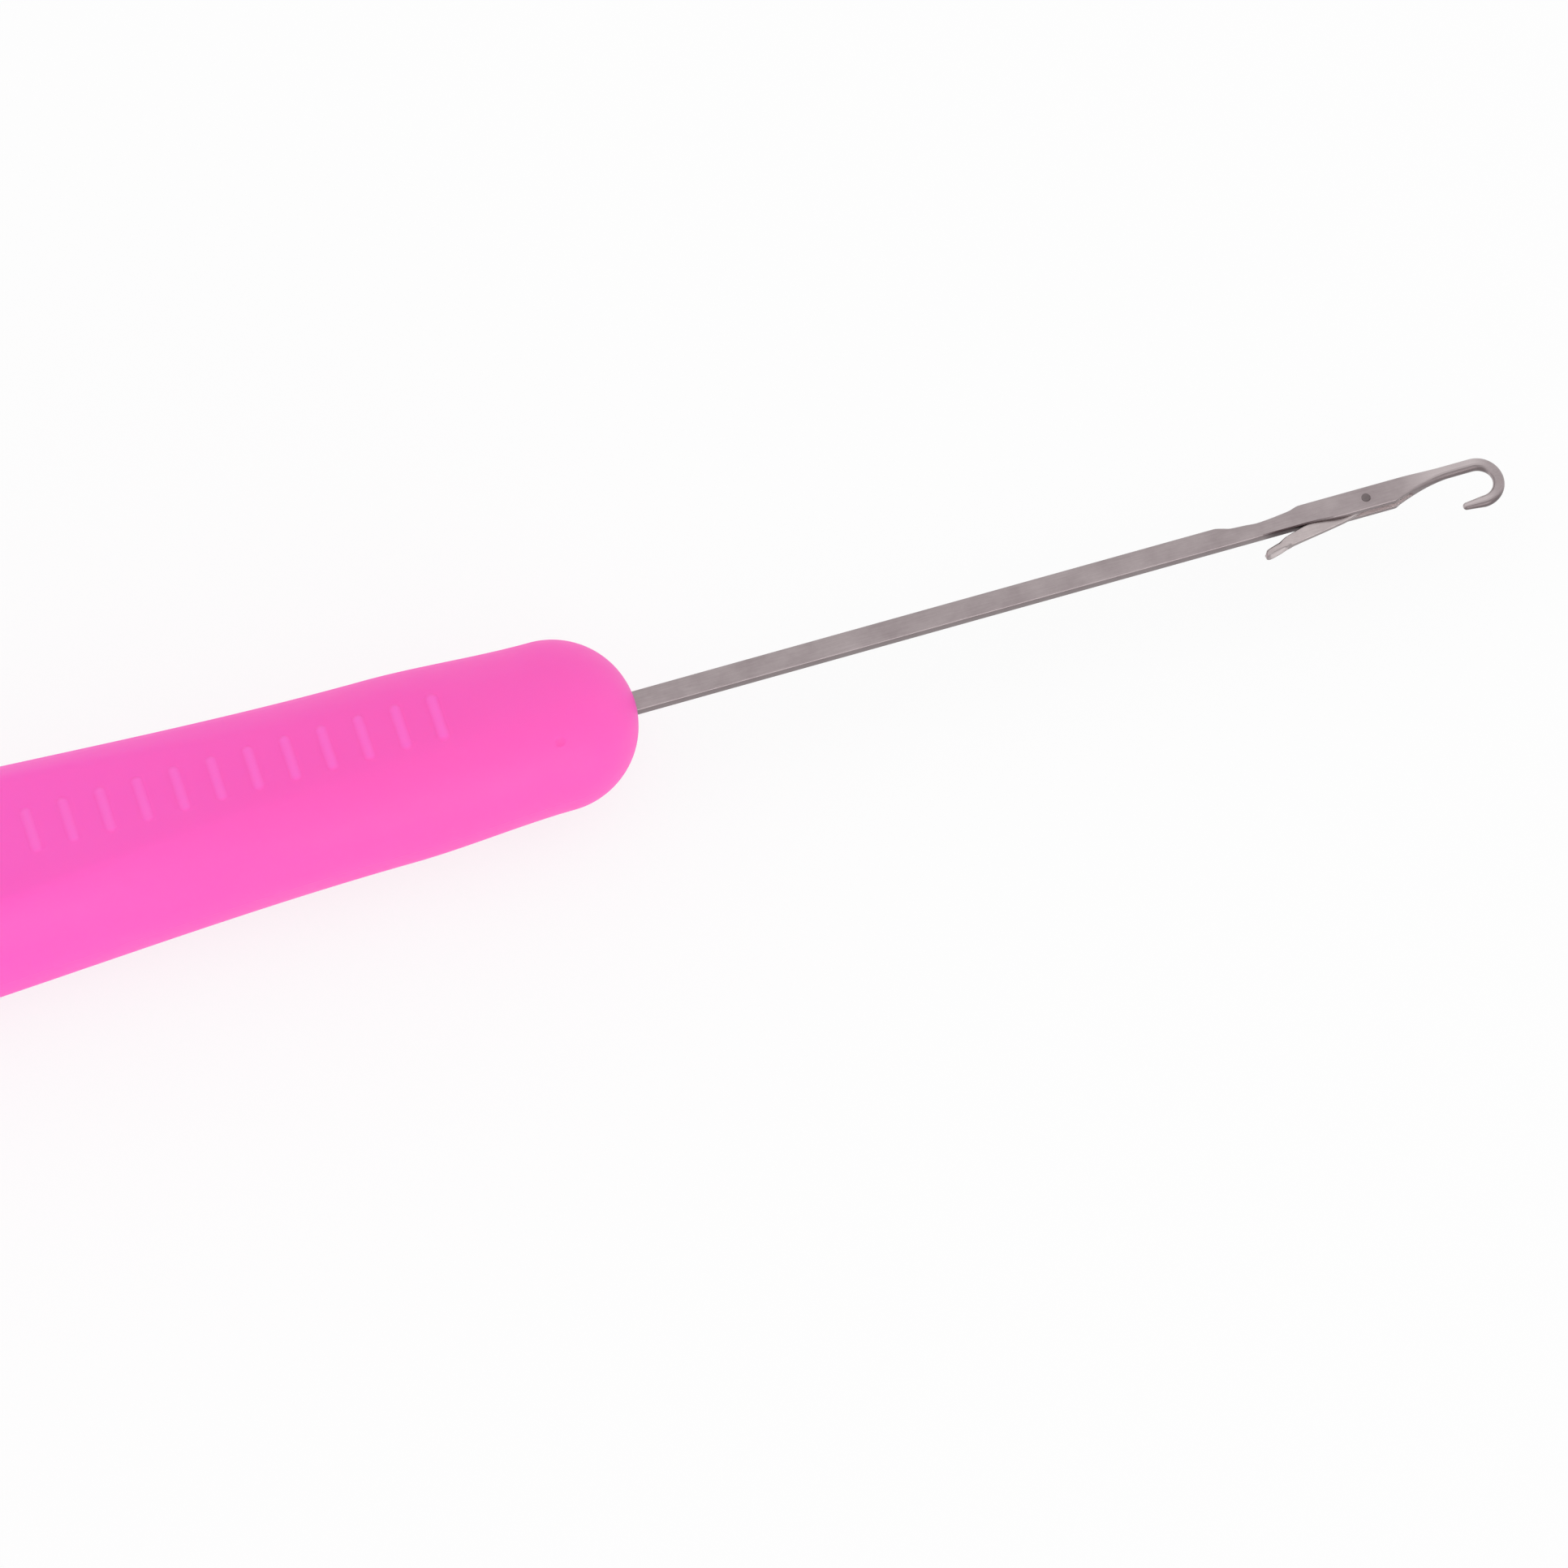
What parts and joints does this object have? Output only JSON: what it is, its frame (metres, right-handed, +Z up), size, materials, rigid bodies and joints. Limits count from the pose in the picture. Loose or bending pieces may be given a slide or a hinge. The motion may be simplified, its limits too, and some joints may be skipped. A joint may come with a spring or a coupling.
{
  "type": "latch hook tool",
  "caption": "Rug-making hook: a flat steel needle with an open hook and a swinging spoon latch, held in a thick moulded plastic handle.",
  "frame": {"origin": "on the surface that the handle rests on, under the middle of the tool's length and width", "axes": "+X along the tool towards the hook, the hook opens towards -Y, +Z up from the handle's lower flat face to its upper one"},
  "size_m": [0.1652, 0.0158, 0.0117],
  "materials": {
    "handle_plastic": "bright pink moulded plastic with a satin gloss",
    "needle_steel": "nickel-plated steel with a dull shine",
    "rivet_steel": "filed steel, slightly darker than the needle",
    "latch_steel": "nickel-plated sheet steel with a dull shine"
  },
  "bodies": {
    "tool": {"handle": "handle_plastic", "needle": "needle_steel", "rivet": "rivet_steel"},
    "latch": {"latch": "latch_steel"}
  },
  "joints": [
    {"name": "latch_pivot", "type": "hinge", "parent": "tool", "child": "latch", "pos_m": [0.0732, -0.00012, 0.0058], "axis": [0, 0, 1], "range_deg": [0, 142.1]}
  ]
}
